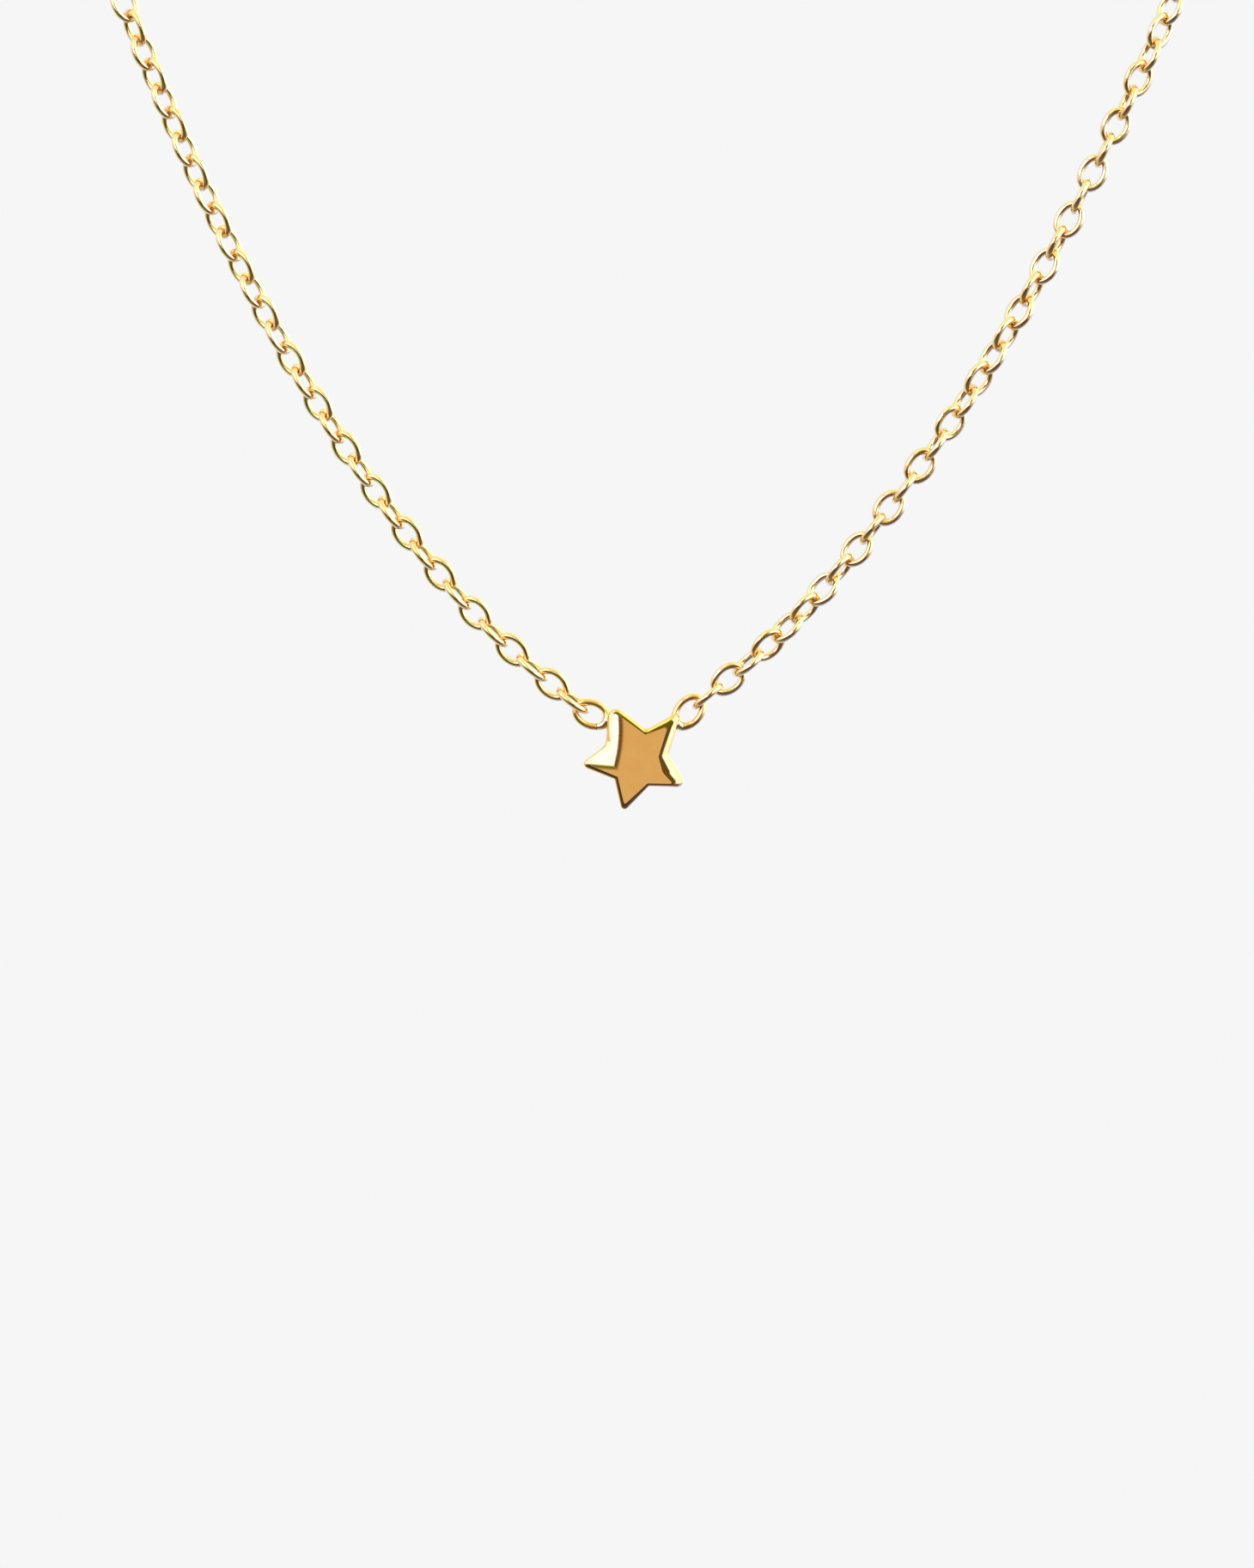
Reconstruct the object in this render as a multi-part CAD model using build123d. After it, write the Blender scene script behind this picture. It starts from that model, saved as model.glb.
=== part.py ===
"""A drop necklace: a small star set in line with a fine chain of oval links.

Millimetres. +X is the right of someone who looks at the star from the front, +Y goes from the
star to the nape and +Z is up. The origin is in the middle of the neck hollow, level with the clasp.
Both strands start in the star's soldered rings, hang in a V in one upright plane, lean back over
the shoulders and meet in the clasp at the nape.
"""
from math import ceil, cos, hypot, radians, sin
import os

from build123d import *

# the cable chain's oval links, all alike
LINK_PITCH = 1.70         # from one link's centre to the next
LINK_WIRE = 0.40          # wire diameter
LINK_WIDTH = 1.88         # outer width of the oval
LINK_END_SHARE = 0.72     # radius of the oval's round ends, as a share of half its middle line's width
LINK_CLEARANCE = 0.13     # free play between two links that pull on each other

# the star, cast in one with a softly rounded rim
STAR_WIDTH = 6.23         # from its left point to its right one
STAR_THICKNESS = 1.60
STAR_RIM_ROUNDING = 0.38
# The star was filed by hand, so no two points are alike. Each row is a corner of its outline before
# rounding, to the right of the star's centre and above it, then its rounding, as shares of STAR_WIDTH.
STAR_CORNERS = [
    (-0.143, -0.566, 0.032),    # bottom point
    (0.114, -0.300, 0.013),
    (0.545, -0.324, 0.071),     # lower right point
    (0.313, 0.010, 0.036),
    (0.482, 0.488, 0.042),      # upper right point
    (0.083, 0.250, 0.178),
    (-0.287, 0.562, 0.087),     # upper left point
    (-0.323, 0.116, 0.143),
    (-0.598, -0.078, 0.062),    # left point
    (-0.213, -0.228, 0.016),
]

# the end rings soldered to the star's two upper points, seen flat from the front
RING_PLACE_LEFT = (0.4670, 0.4370)      # outwards and up from the star's centre, as shares of STAR_WIDTH
RING_PLACE_RIGHT = (0.5430, 0.4650)
RING_TILT_LEFT = 21       # degrees from level to the left ring's long axis
RING_TILT_RIGHT = 50      # degrees from level to the right ring's long axis
SOLDER_RADIUS = 0.40      # the bead of solder between a ring and its point
RING_PLAY_LEFT = 0.17     # how much nearer than a pitch the first loose link lies to its ring
RING_PLAY_RIGHT = 0.08

# the clasp, a ring with a small eye, both flat against the nape
CLASP_DIAMETER = 5.20     # outer diameter of the ring
CLASP_WIRE = 0.70
EYE_DIAMETER = 2.30       # outer diameter of the eye
EYE_WIRE = 0.50
CLASP_CLEARANCE = 0.25    # free play between the clasp and the end links

# the neck hollow that the strands go round
NECK_FRONT = 46.0         # from the origin forward to the plane that the star hangs in
NECK_BACK = 46.0          # from the origin back to the clasp
DROP = 118.0              # from the star's centre up to the clasp
SPREAD = 49.6             # from the star's centre out to the widest place of either strand's middle line

# The strands' routes between the star's rings and the clasp: how far each point lies to the side of
# the star's centre, behind it and above it, as shares of SPREAD, of the hollow's depth and of DROP.
ROUTE_LEFT = [
    (0.1829, 0.0000, 0.0667),
    (0.3145, 0.0000, 0.1308),
    (0.4268, 0.0000, 0.2011),
    (0.5240, 0.0000, 0.2753),
    (0.6083, 0.0000, 0.3523),
    (0.6597, 0.0022, 0.4045),
    (0.7742, 0.0500, 0.5254),
    (0.8952, 0.1793, 0.6653),
    (0.9919, 0.3913, 0.7966),
    (1.0000, 0.6196, 0.8983),
    (0.8306, 0.8207, 0.9627),
    (0.4940, 0.9565, 0.9932),
]
ROUTE_RIGHT = [
    (0.1835, 0.0000, 0.0659),
    (0.3167, 0.0000, 0.1294),
    (0.4337, 0.0000, 0.1985),
    (0.5355, 0.0000, 0.2715),
    (0.6266, 0.0000, 0.3471),
    (0.6833, 0.0022, 0.3983),
    (0.7984, 0.0500, 0.5212),
    (0.9113, 0.1793, 0.6627),
    (0.9980, 0.3913, 0.7966),
    (1.0000, 0.6196, 0.8983),
    (0.8306, 0.8207, 0.9627),
    (0.4940, 0.9565, 0.9932),
]
START_SLOPE_LEFT = 36     # degrees that a strand climbs where it leaves the star
START_SLOPE_RIGHT = 40

# How far the strands are twisted: number of the link counted from the star, degrees of twist.
TWIST_LEFT = [(1, 16), (8, 21), (18, 33), (22, 44), (32, 45)]
TWIST_RIGHT = [(1, 0), (6, 54), (11, 89), (14, 105), (18, 136), (25, 174), (32, 210)]

# sizes that follow from those above
LINK_LENGTH = LINK_PITCH + 2 * LINK_WIRE + LINK_CLEARANCE
LINK_REACH = (LINK_LENGTH - LINK_WIRE) / 2      # from a link's centre to its end's middle line
LINK_HALF_WIDTH = (LINK_WIDTH - LINK_WIRE) / 2  # from a link's centre to its side's middle line
CLASP_RADIUS = (CLASP_DIAMETER - CLASP_WIRE) / 2
EYE_RADIUS = (EYE_DIAMETER - EYE_WIRE) / 2
EYE_CENTRE = CLASP_RADIUS + EYE_RADIUS          # from the clasp's centre to the eye's
NECK_DEPTH = NECK_FRONT + NECK_BACK
STAR_CENTRE = Vector(0, -NECK_FRONT, -DROP)
CLASP_CENTRE = Vector(EYE_RADIUS, NECK_BACK, 0)
BY_LENGTH = PositionMode.LENGTH
TOUCH = 0.001             # slack for picking edges by where they lie


def oval_link():
    """One link: round wire bent into an oval that lies in XY with its long axis along X."""
    end_radius = LINK_END_SHARE * LINK_HALF_WIDTH
    to_end = LINK_REACH - end_radius
    side_radius = (to_end**2 + LINK_HALF_WIDTH**2 - end_radius**2) / (2 * (LINK_HALF_WIDTH - end_radius))
    # the end and side arcs meet on the line through both their centres
    reach = hypot(to_end, side_radius - LINK_HALF_WIDTH)
    meet_x = to_end + end_radius * to_end / reach
    meet_y = end_radius * (side_radius - LINK_HALF_WIDTH) / reach
    right_end = ThreePointArc((meet_x, -meet_y), (LINK_REACH, 0), (meet_x, meet_y))
    far_side = ThreePointArc((meet_x, meet_y), (0, LINK_HALF_WIDTH), (-meet_x, meet_y))
    left_end = ThreePointArc((-meet_x, meet_y), (-LINK_REACH, 0), (-meet_x, -meet_y))
    near_side = ThreePointArc((-meet_x, -meet_y), (0, -LINK_HALF_WIDTH), (meet_x, -meet_y))
    middle_line = Wire([right_end, far_side, left_end, near_side])
    section = Plane(origin=right_end @ 0, z_dir=right_end % 0) * Circle(LINK_WIRE / 2)
    return sweep(section, path=middle_line).solid()


def round_ring(middle_radius, wire):
    """A plain ring that lies in XZ, flat against the nape."""
    return Torus(middle_radius, wire / 2, rotation=(90, 0, 0))


def star():
    """The star's body about its own centre, its faces square to Y."""
    corners = [(STAR_WIDTH * across, STAR_WIDTH * up) for across, up, _ in STAR_CORNERS]
    outline = make_face(Polyline(*corners, close=True))
    for (across, up), (_, _, rounding) in zip(corners, STAR_CORNERS):
        corner = outline.vertices().sort_by_distance((across, up, 0))[0]
        outline = fillet(corner, STAR_WIDTH * rounding)
    body = extrude(outline, STAR_THICKNESS / 2, both=True)
    rims = body.edges().filter_by(lambda edge: abs(edge.center().Z) > STAR_THICKNESS / 2 - TOUCH)
    return Rot(90, 0, 0) * fillet(rims, STAR_RIM_ROUNDING)


def strand_route(side, ring_place, points, start_slope, clasp_end):
    """The middle line of one strand, from the middle of its ring on the star.

    side is -1 for the left strand and 1 for the right one.
    """
    ring_out, ring_up = ring_place
    ring_centre = STAR_CENTRE + STAR_WIDTH * Vector(side * ring_out, 0, ring_up)
    placed = []
    for out, back, up in points:
        placed.append(STAR_CENTRE + Vector(side * SPREAD * out, NECK_DEPTH * back, DROP * up))
    climb = radians(start_slope)
    start = (side * cos(climb), 0, sin(climb))
    arrival = (-side, 0, 0)
    return Spline(ring_centre, *placed, clasp_end, tangents=(start, arrival), tangent_scalars=(1, 1))


def twist_at(number, twists):
    """Degrees of twist at one link, in line between the table's rows."""
    for (low, low_twist), (high, high_twist) in zip(twists, twists[1:]):
        if number <= high:
            return low_twist + (high_twist - low_twist) * (number - low) / (high - low)
    return twists[-1][1]


def strand(side, route, ring_play, twists, clasp_wire):
    """The loose links of one strand, from the star's ring to the clasp.

    Each link stands square to the one before it, apart from the strand's own slow twist.
    """
    # the first link hangs loose in the star's ring, the last on the clasp's wire
    last_reach = LINK_REACH - (LINK_WIRE + clasp_wire) / 2 - CLASP_CLEARANCE
    run = route.length + ring_play - last_reach
    count = round(run / LINK_PITCH)
    # the clasp lies flat, so the last link stands up: its turn is an odd number of quarter turns
    last_quarter = 90 * (1 - count % 2)
    last_twist = last_quarter + 180 * ceil((twists[-1][1] - last_quarter) / 180)
    twists = twists + [(count, last_twist)]
    link = oval_link()
    links = []
    for number in range(1, count + 1):
        distance = run * number / count - ring_play
        ahead = route.tangent_at(distance, BY_LENGTH)
        outward = Vector(side * ahead.Y, -side * ahead.X, 0)
        turn = 90 * (number % 2) + twist_at(number, twists)
        flat = outward.rotate(Axis((0, 0, 0), ahead), side * turn)
        place = Plane(origin=route.position_at(distance, BY_LENGTH), x_dir=ahead, z_dir=flat)
        links.append(place.location * link)
    return links


def star_pendant(left_route, right_route):
    """The star with the two rings that its upper points are soldered to."""
    pendant = Pos(*STAR_CENTRE) * star()
    ring = Rot(90, 0, 0) * oval_link()
    for side, route, tilt in ((-1, left_route, RING_TILT_LEFT), (1, right_route, -RING_TILT_RIGHT)):
        bead = Pos(-side * LINK_REACH, 0, 0) * Sphere(SOLDER_RADIUS)
        pendant += Pos(*route.position_at(0)) * Rot(0, tilt, 0) * (ring + bead)
    return pendant


def clasp():
    """The clasp's ring with its eye, one piece of metal."""
    eye = Pos(-EYE_CENTRE, 0, 0) * round_ring(EYE_RADIUS, EYE_WIRE)
    return Pos(*CLASP_CENTRE) * (round_ring(CLASP_RADIUS, CLASP_WIRE) + eye)


eye_far_side = CLASP_CENTRE - Vector(EYE_CENTRE + EYE_RADIUS, 0, 0)
ring_far_side = CLASP_CENTRE + Vector(CLASP_RADIUS, 0, 0)
left_route = strand_route(-1, RING_PLACE_LEFT, ROUTE_LEFT, START_SLOPE_LEFT, eye_far_side)
right_route = strand_route(1, RING_PLACE_RIGHT, ROUTE_RIGHT, START_SLOPE_RIGHT, ring_far_side)
left_links = strand(-1, left_route, RING_PLAY_LEFT, TWIST_LEFT, EYE_WIRE)
right_links = strand(1, right_route, RING_PLAY_RIGHT, TWIST_RIGHT, CLASP_WIRE)

pieces = {
    "star_pendant": star_pendant(left_route, right_route).solid(),
    "chain_left": Compound(left_links),
    "chain_right": Compound(right_links),
    "clasp": clasp().solid(),
}
os.makedirs("parts", exist_ok=True)
for name, shape in pieces.items():
    export_step(shape, f"parts/{name}.step")
    print(name, "solids", len(shape.solids()), "volume", round(shape.volume, 3), "valid", shape.is_valid)
around = left_route.length + right_route.length
print("length of both strands", round(around, 1), "links", len(left_links), len(right_links))
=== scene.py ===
# %% [markdown]
# # A drop necklace: a small star between two strands of fine chain
#
# The real necklace is polished gold-coloured metal. A cast star about 6 mm wide hangs between two
# strands of oval links, held by a ring soldered to each of its upper points, and a small clasp
# closes the loop behind the neck. This lesson dresses the CAD model of it: the CAD solids give the
# exact places, and each cell below makes one piece, one finish or one light.
#
# Blender works in metres and the necklace is tiny, so every size is written in millimetres and
# multiplied by one named factor where a mesh is made.

# %% Load the CAD frame
import math

import bmesh
import bpy
import numpy as np
from mathutils import Matrix, Vector


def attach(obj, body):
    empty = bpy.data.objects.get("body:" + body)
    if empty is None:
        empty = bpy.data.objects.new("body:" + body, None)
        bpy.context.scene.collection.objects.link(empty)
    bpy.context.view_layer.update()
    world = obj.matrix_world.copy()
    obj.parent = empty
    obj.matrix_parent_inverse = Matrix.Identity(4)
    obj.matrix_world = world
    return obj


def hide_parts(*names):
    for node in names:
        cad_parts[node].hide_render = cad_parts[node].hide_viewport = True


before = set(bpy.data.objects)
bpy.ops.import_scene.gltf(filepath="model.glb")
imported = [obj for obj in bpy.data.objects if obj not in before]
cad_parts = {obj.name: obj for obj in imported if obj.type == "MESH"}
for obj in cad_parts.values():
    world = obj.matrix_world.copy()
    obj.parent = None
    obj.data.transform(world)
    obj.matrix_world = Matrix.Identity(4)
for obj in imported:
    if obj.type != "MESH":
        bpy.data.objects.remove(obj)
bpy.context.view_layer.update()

# %% [markdown]
# ## Driving sizes
#
# A CAD link keeps a clear gap to its neighbours, while a real one pulls tight, so the links here are
# drawn to nearly touch. Their wire is also a little bolder than in the CAD model, because in a
# photograph polished metal shines past its own edge.

# %% Sizes in millimetres
MM = 0.001                # metres in a millimetre
LINK_PITCH = 1.70         # from one link's centre to the next
LINK_WIRE = 0.45
LINK_WIDTH = 1.94         # across the whole oval
PULL_GAP = 0.012          # what stays open between two links that pull on each other
LINK_LENGTH = LINK_PITCH + 2 * LINK_WIRE + PULL_GAP
LINK_REACH = (LINK_LENGTH - LINK_WIRE) / 2          # from the centre to the wire's middle at an end
LINK_HALF_WIDTH = (LINK_WIDTH - LINK_WIRE) / 2      # and to the wire's middle at a side
print("link", round(LINK_LENGTH, 3), "by", LINK_WIDTH, "mm")

# %% [markdown]
# ## Writing node trees as short lines
#
# Materials, the light and the chain are all node trees. Clicking dozens of Math nodes together is
# slow to read, so `Number` wraps one socket and lets Python's own arithmetic add the nodes.

# %% Arithmetic on sockets
def math_node(operation, turned=False):
    """A method that adds one Math node for this operation."""
    def calculate(self, other=0.0):
        first, second = (other, self) if turned else (self, other)
        return self.tree.number("ShaderNodeMath", {"operation": operation}, {0: first, 1: second})
    return calculate


class Number:
    """One number in a node tree. Arithmetic on it adds Math nodes."""

    def __init__(self, tree, socket):
        self.tree = tree
        self.socket = socket

    __add__ = math_node("ADD")
    __radd__ = math_node("ADD", turned=True)
    __sub__ = math_node("SUBTRACT")
    __rsub__ = math_node("SUBTRACT", turned=True)
    __mul__ = math_node("MULTIPLY")
    __rmul__ = math_node("MULTIPLY", turned=True)
    __truediv__ = math_node("DIVIDE")
    __gt__ = math_node("GREATER_THAN")
    arc_cosine = math_node("ARCCOSINE")
    angle_from = math_node("ARCTAN2")
    size = math_node("ABSOLUTE")
    greater = math_node("MAXIMUM")

    def ramp(self, low, high):
        """0 below low and 1 above high, with a smooth step between them."""
        settings = {"interpolation_type": "SMOOTHSTEP"}
        return self.tree.number("ShaderNodeMapRange", settings, {0: self, 1: low, 2: high})


print("arithmetic on sockets ready")

# %% [markdown]
# Every other node comes from `Tree.add`, which takes the node's type, its settings and what goes
# into its sockets, each a plain value or a link. Settings go first, because some of them change
# which sockets a node has.

# %% A tree that is written line by line
MIX_COLOURS = (6, 7)      # the sockets of a Mix node's two colours
MIX_RESULT = 2            # and the output of their mix


class Tree:
    """A node tree that starts empty and is written line by line."""

    def __init__(self, node_tree):
        self.node_tree = node_tree
        node_tree.nodes.clear()

    def add(self, kind, settings=None, inputs=None):
        """A new node of this kind. A ramp's stops are (place, colour) pairs."""
        node = self.node_tree.nodes.new(kind)
        settings = dict(settings or {})
        stops = settings.pop("stops", None)
        for name, value in settings.items():
            setattr(node, name, value)
        if stops:
            elements = node.color_ramp.elements
            elements.remove(elements[1])
            elements[0].position, elements[0].color = stops[0][0], (*stops[0][1], 1)
            for place, colour in stops[1:]:
                elements.new(place).color = (*colour, 1)
        for key, value in (inputs or {}).items():
            value = getattr(value, "socket", value)
            if isinstance(value, bpy.types.NodeSocket):
                self.node_tree.links.new(value, node.inputs[key])
            else:
                node.inputs[key].default_value = value
        return node

    def number(self, kind, settings=None, inputs=None, output=0):
        return Number(self, self.add(kind, settings, inputs).outputs[output])

    def parts(self, vector):
        """A vector's x, y and z as numbers."""
        split = self.add("ShaderNodeSeparateXYZ", inputs={0: vector})
        return [Number(self, socket) for socket in split.outputs]

    def blend(self, under, over, share):
        """One colour laid over another by a share from 0 to 1."""
        node = self.add("ShaderNodeMix", {"data_type": "RGBA"}, {"Factor": share})
        for key, colour in zip(MIX_COLOURS, (under, over)):
            if isinstance(colour, bpy.types.NodeSocket):
                self.node_tree.links.new(colour, node.inputs[key])
            else:
                node.inputs[key].default_value = (*colour, 1)
        return node.outputs[MIX_RESULT]


print("trees ready")

# %% [markdown]
# ## Where each link hangs
#
# Each CAD strand is 122 separate solids in one node, so the first step is to tell them apart: two
# triangles belong together when they share a corner, and the lowest number spreads from corner to
# corner until nothing changes.

# %% Tell the solids of one mesh apart
SAME_PLACE = 1e-7         # corners nearer than this many metres are one


def solid_numbers(places, triangles):
    """For each triangle, the number of the separate solid that it belongs to."""
    same_place = np.round(places / SAME_PLACE).astype(np.int64)
    same_place = np.unique(same_place, axis=0, return_inverse=True)[1].reshape(-1)
    corners = same_place[triangles]
    label = np.arange(corners.max() + 1)
    while True:
        lowest = label[corners].min(axis=1)
        lower = label.copy()
        np.minimum.at(lower, corners.ravel(), np.repeat(lowest, 3))
        lower = lower[lower]
        if (lower == label).all():
            return np.unique(label[corners[:, 0]], return_inverse=True)[1].reshape(-1)
        label = lower


print("solids can be told apart")

# %% [markdown]
# A link's own shape then tells how it lies: its long axis runs along the strand, and its thinnest
# axis is square to the flat oval. Both come from the solid's moments, weighted by the area of its
# triangles.

# %% Read the links' places from the CAD strands
def mesh_arrays(mesh):
    """A triangle mesh's corners in space, and the three corners of each triangle."""
    places = np.empty(len(mesh.vertices) * 3)
    mesh.vertices.foreach_get("co", places)
    corners = np.empty(len(mesh.loops), np.int32)
    mesh.loops.foreach_get("vertex_index", corners)
    return places.reshape(-1, 3), corners.reshape(-1, 3)


def link_places(node):
    """The centre, the long axis and the flat side's direction of each solid of a CAD node."""
    places, triangles = mesh_arrays(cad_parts[node].data)
    number = solid_numbers(places, triangles)
    a, b, c = (places[triangles[:, k]] for k in range(3))
    area = np.linalg.norm(np.cross(b - a, c - a), axis=1)
    middle = (a + b + c) / 3
    total = np.bincount(number, area)
    sums = [np.bincount(number, area * middle[:, k]) for k in range(3)]
    centre = np.stack(sums, 1) / total[:, None]
    offset = middle - centre[number]
    moments = np.empty((len(total), 3, 3))
    for row in range(3):
        for column in range(3):
            product = area * offset[:, row] * offset[:, column]
            moments[:, row, column] = np.bincount(number, product)
    axes = np.linalg.eigh(moments)[1]      # sorted from the thinnest to the longest
    return centre, axes[:, :, 2], axes[:, :, 0]


chain_places = {node: link_places(node) for node in ("chain_left", "chain_right")}
for node, (centres, _, _) in chain_places.items():
    print(node, "has", len(centres), "links")

# %% [markdown]
# ## One link, repeated by Geometry Nodes
#
# A link is round wire bent to an oval. The tree draws the oval as a scaled circle, sweeps a small
# circle along it, and sets one such link on every point of the strand, turned by the two directions
# that the point carries. Sweeping and repeating in one tree keeps a single place for each size. The
# tree also writes where on the wire each vertex lies, so that the finish can follow the wire.

# %% Build the tree of a strand
LINK_SEGMENTS = 28        # round the oval
WIRE_SIDES = 10
STRAND_INPUTS = [
    ("Strand", "NodeSocketGeometry"),
    ("Reach", "NodeSocketFloat"),
    ("Half width", "NodeSocketFloat"),
    ("Wire radius", "NodeSocketFloat"),
    ("Segments", "NodeSocketInt"),
    ("Sides", "NodeSocketInt"),
    ("Seed", "NodeSocketInt"),
    ("Finish", "NodeSocketMaterial"),
]
POINT_VECTOR = {"data_type": "FLOAT_VECTOR", "domain": "POINT"}
RANDOM_NUMBER = 1         # the output of a Random Value node that is a single number


def strand_tree():
    group = bpy.data.node_groups.new("strand_of_links", "GeometryNodeTree")
    tree = Tree(group)
    for name, kind in STRAND_INPUTS:
        group.interface.new_socket(name, in_out="INPUT", socket_type=kind)
    group.interface.new_socket("Links", in_out="OUTPUT", socket_type="NodeSocketGeometry")
    given = tree.add("NodeGroupInput").outputs

    def step(kind, settings=None, **inputs):
        """Add one node and give its first output. An underscore in a socket's name is a space."""
        named = {name.replace("_", " "): value for name, value in inputs.items()}
        return tree.add(kind, settings, named).outputs[0]

    place = step("GeometryNodeInputPosition")
    oval = step("GeometryNodeCurvePrimitiveCircle", Resolution=given["Segments"], Radius=1.0)
    stretch = step("ShaderNodeCombineXYZ", X=given["Reach"], Y=given["Half width"], Z=1.0)
    oval = step("GeometryNodeTransform", Geometry=oval, Scale=stretch)
    oval = step("GeometryNodeStoreNamedAttribute", POINT_VECTOR,
                Geometry=oval, Name="wire_along", Value=place)

    section = step("GeometryNodeCurvePrimitiveCircle", Resolution=given["Sides"], Radius=1.0)
    section = step("GeometryNodeStoreNamedAttribute", POINT_VECTOR,
                   Geometry=section, Name="wire_round", Value=place)
    thin = step("ShaderNodeCombineXYZ", X=given["Wire radius"], Y=given["Wire radius"], Z=1.0)
    section = step("GeometryNodeTransform", Geometry=section, Scale=thin)
    link = step("GeometryNodeCurveToMesh", Curve=oval, Profile_Curve=section)

    along, flat = (
        step("GeometryNodeInputNamedAttribute", {"data_type": "FLOAT_VECTOR"}, Name=name)
        for name in ("along", "flat")
    )
    turn = tree.add("FunctionNodeAxesToRotation", {"primary_axis": "X", "secondary_axis": "Z"},
                    {0: along, 1: flat}).outputs[0]
    points = step("GeometryNodeMeshToPoints", Mesh=given["Strand"])
    links = step("GeometryNodeInstanceOnPoints", Points=points, Instance=link, Rotation=turn)
    shade = tree.add("FunctionNodeRandomValue", {"data_type": "FLOAT"}, {"Seed": given["Seed"]})
    shade = shade.outputs[RANDOM_NUMBER]
    links = step("GeometryNodeStoreNamedAttribute", {"data_type": "FLOAT", "domain": "INSTANCE"},
                 Geometry=links, Name="link_shade", Value=shade)
    made = step("GeometryNodeRealizeInstances", Geometry=links)
    made = step("GeometryNodeSetShadeSmooth", Geometry=made)
    made = step("GeometryNodeSetMaterial", Geometry=made, Material=given["Finish"])
    tree.add("NodeGroupOutput", inputs={0: made})
    return group


links_tree = strand_tree()
print("tree with", len(links_tree.nodes), "nodes")

# %% [markdown]
# ## Gold, in three finishes
#
# Gold is a bare metal: its colour is the colour of its reflections, so `Metallic` is 1 and the base
# colour is a warm yellow. What makes it look real is small, and differs from piece to piece. The
# numbers that stay the same all over a piece are set on the shader itself, and only what changes
# over the surface is worked out by nodes.

# %% What every metal shares
PALE_GOLD = (1.0, 0.66, 0.25)
DEEP_GOLD = (1.0, 0.58, 0.19)
# darker gold: scuffs on the clasp, and painted shade at the ends of the chain's links
WEAR_AND_SHADE_GOLD = (0.88, 0.46, 0.15)


def start_metal(name):
    material = bpy.data.materials.new(name)
    material.use_nodes = True
    tree = Tree(material.node_tree)
    shader = tree.add("ShaderNodeBsdfPrincipled", inputs={"Metallic": 1.0})
    tree.add("ShaderNodeOutputMaterial", inputs={0: shader.outputs[0]})
    return material, tree, shader


def finish_metal(tree, shader, colour, roughness, height, depth):
    """Lead the varying colour, roughness and height into the shader. depth is in millimetres."""
    sockets = {"Strength": 1.0, "Distance": depth * MM, "Height": height}
    bump = tree.add("ShaderNodeBump", inputs=sockets)
    varying = {"Base Color": colour, "Roughness": roughness.socket, "Normal": bump.outputs[0]}
    for name, value in varying.items():
        tree.node_tree.links.new(value, shader.inputs[name])


def noise(tree, vector, scale, detail=2.0):
    """Soft random patches. scale is how many there are to a millimetre."""
    sockets = {"Vector": vector, "Scale": scale / MM, "Detail": detail}
    return tree.number("ShaderNodeTexNoise", None, sockets)


def vector_on_piece(tree, name):
    return tree.add("ShaderNodeAttribute", {"attribute_name": name}).outputs["Vector"]


def number_on_piece(tree, name):
    return tree.number("ShaderNodeAttribute", {"attribute_name": name}, output="Fac")


print("gold from", DEEP_GOLD, "to", PALE_GOLD)

# %% [markdown]
# ### Drawn wire
#
# Wire keeps faint lines from the plate that it was pulled through, each link has one soldered seam
# in a side, and its ends are worn a little rougher by its neighbours and darkened with painted shade
# where the neighbours pass through. All three follow the wire, so they read the places that the
# Geometry Nodes tree stored. Links also differ a little in colour.

# %% The chain's finish
WIRE_PALE_GOLD = (1.0, 0.74, 0.36)
WIRE_DEEP_GOLD = (1.0, 0.66, 0.27)
WIRE_PATCHES = 2.2        # soft patches of colour to a millimetre
LINK_CONTRAST = 0.5       # how far one link's colour is from another's
LINK_SHIFT = -0.2         # brings the strand's colour back to the middle
WIRE_PALE = (0.2, 0.8)    # the gold turns from deep to pale between these heights of a patch
WORN_AND_SHADED_START = 0.82          # the share of the way to a link's end at which the worn part with painted shade begins
WORN_AND_SHADED_PATCHES = (0.35, 0.7)      # and an end is worn and gets painted shade between these
# how much darker the painted shade makes a link's ends
END_SHADE_STRENGTH = 0.35
SEAM_WIDTH = 0.05
SEAM_SUNK = 4.0           # against the height of a patch
LINES_ROUND = 9.0         # drawn lines across the wire's radius
LINES_ALONG = 600.0       # how often they change in a metre of wire
LINE_HEIGHT = 0.15        # against the height of a patch
WIRE_BUMP = 0.0005        # millimetres
WIRE_ROUGHNESS = {"wire": 0.07, "patches": 0.04, "worn_and_shaded": 0.06, "seam": 0.12}


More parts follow.
